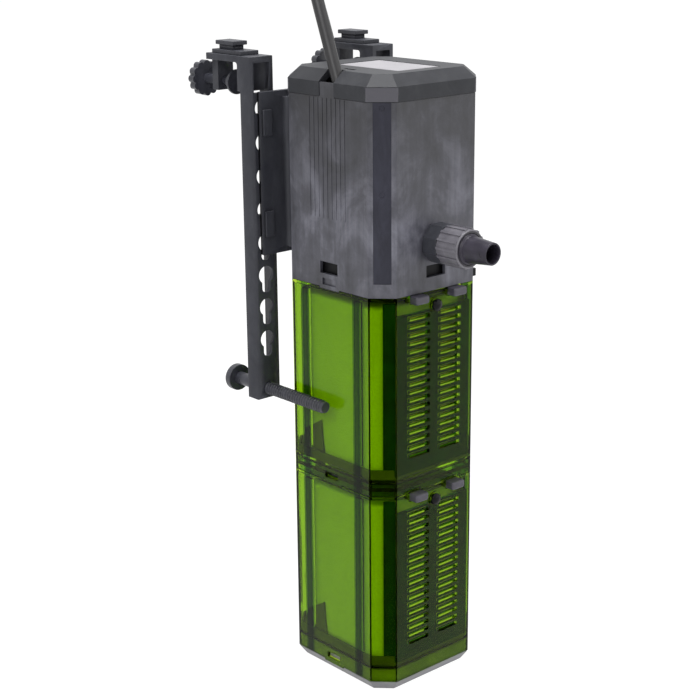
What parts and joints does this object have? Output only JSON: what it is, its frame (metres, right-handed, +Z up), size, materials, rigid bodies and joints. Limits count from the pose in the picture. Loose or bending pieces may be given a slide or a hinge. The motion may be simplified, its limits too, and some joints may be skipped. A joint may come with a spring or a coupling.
{
  "type": "hanging aquarium filter",
  "caption": "Submersible aquarium power filter: grey pump head with a swivel outlet on stacked clear green foam modules, hung on the tank rim by slotted hook arms with clamp and spacer screws.",
  "frame": {"origin": "centre of the base plate's underside", "axes": "+Z up, -Y towards the outlet nozzle, +Y towards the hook arms, +X to the right seen from the outlet side"},
  "size_m": [0.245, 0.261, 0.5095],
  "materials": {
    "head_plastic": "mottled satin",
    "base_plastic": "satin",
    "lid_plastic": "fine matt",
    "strip_plastic": "satin",
    "bracket_plastic": "satin",
    "screw_plastic": "satin",
    "black_plastic": "satin",
    "inner_plastic": "satin",
    "white_plastic": "satin",
    "catch_plastic": "satin",
    "nut_plastic": "satin",
    "nozzle_plastic": "semi-gloss",
    "clear_green": "clear, polished",
    "dark_green": "satin",
    "foam": "open-cell foam",
    "label": "matt film",
    "black_rubber": "matt",
    "cord_sheath": "satin",
    "steel": "plain",
    "lamination": "plain",
    "copper": "enamelled wire",
    "ferrite": "matt",
    "ceramic": "polished",
    "plug_brass": "plain"
  },
  "bodies": {
    "upper_module": {"upper_shell": "clear_green", "upper_core_tube": "inner_plastic", "upper_foam": "foam", "upper_intake_grid": "dark_green", "upper_plug": "black_rubber", "upper_seal": "black_rubber", "cord_coil": "cord_sheath", "cord_tie": "black_plastic", "plug_body": "cord_sheath", "plug_pins": "plug_brass"},
    "head": {"pump_housing": "head_plastic", "window_screens": "black_plastic", "lid": "lid_plastic", "label_plate": "label", "corner_strips": "strip_plastic", "strip_pins": "strip_plastic", "pump_chamber": "inner_plastic", "chamber_cover": "inner_plastic", "chamber_screws": "steel", "rotor_can": "inner_plastic", "motor_case": "inner_plastic", "stator_core": "lamination", "stator_coils": "copper", "rotor_shaft": "ceramic", "shaft_bushes": "black_rubber", "outlet_socket": "bracket_plastic", "bracket_plate": "bracket_plastic", "plate_screws": "steel", "arm_studs": "bracket_plastic", "cord_gland": "black_rubber", "power_cord": "cord_sheath"},
    "lower_module": {"base_plate": "base_plastic", "lower_shell": "clear_green", "lower_core_tube": "inner_plastic", "lower_foam": "foam", "lower_intake_grid": "dark_green", "lower_plug": "black_rubber", "lower_seal": "black_rubber"},
    "upper_catch": {"upper_catch": "catch_plastic"},
    "lower_catch": {"lower_catch": "catch_plastic"},
    "rotor": {"rotor_magnet": "ferrite", "impeller": "white_plastic"},
    "flow_slide": {"flow_slide": "black_plastic"},
    "collar": {"collar_nut": "nut_plastic"},
    "nozzle_swivel": {"nozzle_seal": "black_rubber"},
    "nozzle": {"nozzle": "nozzle_plastic"},
    "left_arm": {"left_arm": "bracket_plastic", "left_rest_cap": "bracket_plastic"},
    "left_clamp_pad": {"left_clamp_pad": "screw_plastic"},
    "left_clamp_screw": {"left_clamp_screw": "screw_plastic"},
    "left_spacer_foot": {"left_spacer_foot": "screw_plastic"},
    "left_spacer_screw": {"left_spacer_screw": "screw_plastic"},
    "right_arm": {"right_arm": "bracket_plastic", "right_rest_cap": "bracket_plastic"},
    "right_clamp_pad": {"right_clamp_pad": "screw_plastic"},
    "right_clamp_screw": {"right_clamp_screw": "screw_plastic"},
    "right_spacer_foot": {"right_spacer_foot": "screw_plastic"},
    "right_spacer_screw": {"right_spacer_screw": "screw_plastic"}
  },
  "joints": [
    {"name": "head_lift", "type": "slide", "parent": "upper_module", "child": "head", "axis": [0, 0, 1], "range_m": [0, 0.01]},
    {"name": "lower_drop", "type": "slide", "parent": "upper_module", "child": "lower_module", "axis": [0, 0, -1], "range_m": [0, 0.01]},
    {"name": "upper_catch_press", "type": "slide", "parent": "upper_module", "child": "upper_catch", "axis": [0, 1, 0], "range_m": [0, 0.004], "stiffness_N_per_m": 400},
    {"name": "lower_catch_press", "type": "slide", "parent": "lower_module", "child": "lower_catch", "axis": [0, 1, 0], "range_m": [0, 0.004], "stiffness_N_per_m": 400},
    {"name": "rotor_spin", "type": "hinge", "parent": "head", "child": "rotor", "pos_m": [0, 0, 0.333], "axis": [0, 0, 1], "continuous": true},
    {"name": "flow_adjust", "type": "slide", "parent": "head", "child": "flow_slide", "axis": [1, 0, 0], "range_m": [0, 0.014]},
    {"name": "collar_turn", "type": "hinge", "parent": "head", "child": "collar", "pos_m": [0, -0.072, 0.3095], "axis": [0, 1, 0], "continuous": true},
    {"name": "nozzle_turn", "type": "hinge", "parent": "head", "child": "nozzle_swivel", "pos_m": [0, -0.076, 0.3095], "axis": [0, 1, 0], "continuous": true},
    {"name": "nozzle_tilt", "type": "hinge", "parent": "nozzle_swivel", "child": "nozzle", "pos_m": [0, -0.076, 0.3095], "axis": [1, 0, 0], "range_deg": [-12, 12]},
    {"name": "left_arm_drop", "type": "slide", "parent": "head", "child": "left_arm", "axis": [0, 0, -1], "range_m": [0, 0.009]},
    {"name": "left_clamp_travel", "type": "slide", "parent": "left_arm", "child": "left_clamp_pad", "axis": [0, 1, 0], "range_m": [-0.0113, 0.0057]},
    {"name": "left_clamp_turn", "type": "hinge", "parent": "left_clamp_pad", "child": "left_clamp_screw", "pos_m": [-0.054, 0.1, 0.405], "axis": [0, 1, 0], "range_deg": [-2035, 1027]},
    {"name": "left_spacer_travel", "type": "slide", "parent": "left_arm", "child": "left_spacer_foot", "axis": [0, 1, 0], "range_m": [-0.02, 0.04]},
    {"name": "left_spacer_turn", "type": "hinge", "parent": "left_spacer_foot", "child": "left_spacer_screw", "pos_m": [-0.054, 0.06, 0.198], "axis": [0, 1, 0], "range_deg": [-2881, 5761]},
    {"name": "right_arm_drop", "type": "slide", "parent": "head", "child": "right_arm", "axis": [0, 0, -1], "range_m": [0, 0.009]},
    {"name": "right_clamp_travel", "type": "slide", "parent": "right_arm", "child": "right_clamp_pad", "axis": [0, 1, 0], "range_m": [-0.0113, 0.0057]},
    {"name": "right_clamp_turn", "type": "hinge", "parent": "right_clamp_pad", "child": "right_clamp_screw", "pos_m": [0.054, 0.1, 0.405], "axis": [0, 1, 0], "range_deg": [-2035, 1027]},
    {"name": "right_spacer_travel", "type": "slide", "parent": "right_arm", "child": "right_spacer_foot", "axis": [0, 1, 0], "range_m": [-0.02, 0.04]},
    {"name": "right_spacer_turn", "type": "hinge", "parent": "right_spacer_foot", "child": "right_spacer_screw", "pos_m": [0.054, 0.06, 0.198], "axis": [0, 1, 0], "range_deg": [-2881, 5761]}
  ],
  "couplings": [
    {"joint": "left_clamp_turn", "follows": "left_clamp_travel", "rad_per_m": 3141.6},
    {"joint": "left_spacer_turn", "follows": "left_spacer_travel", "rad_per_m": 2513.3},
    {"joint": "right_clamp_turn", "follows": "right_clamp_travel", "rad_per_m": 3141.6},
    {"joint": "right_spacer_turn", "follows": "right_spacer_travel", "rad_per_m": 2513.3}
  ]
}
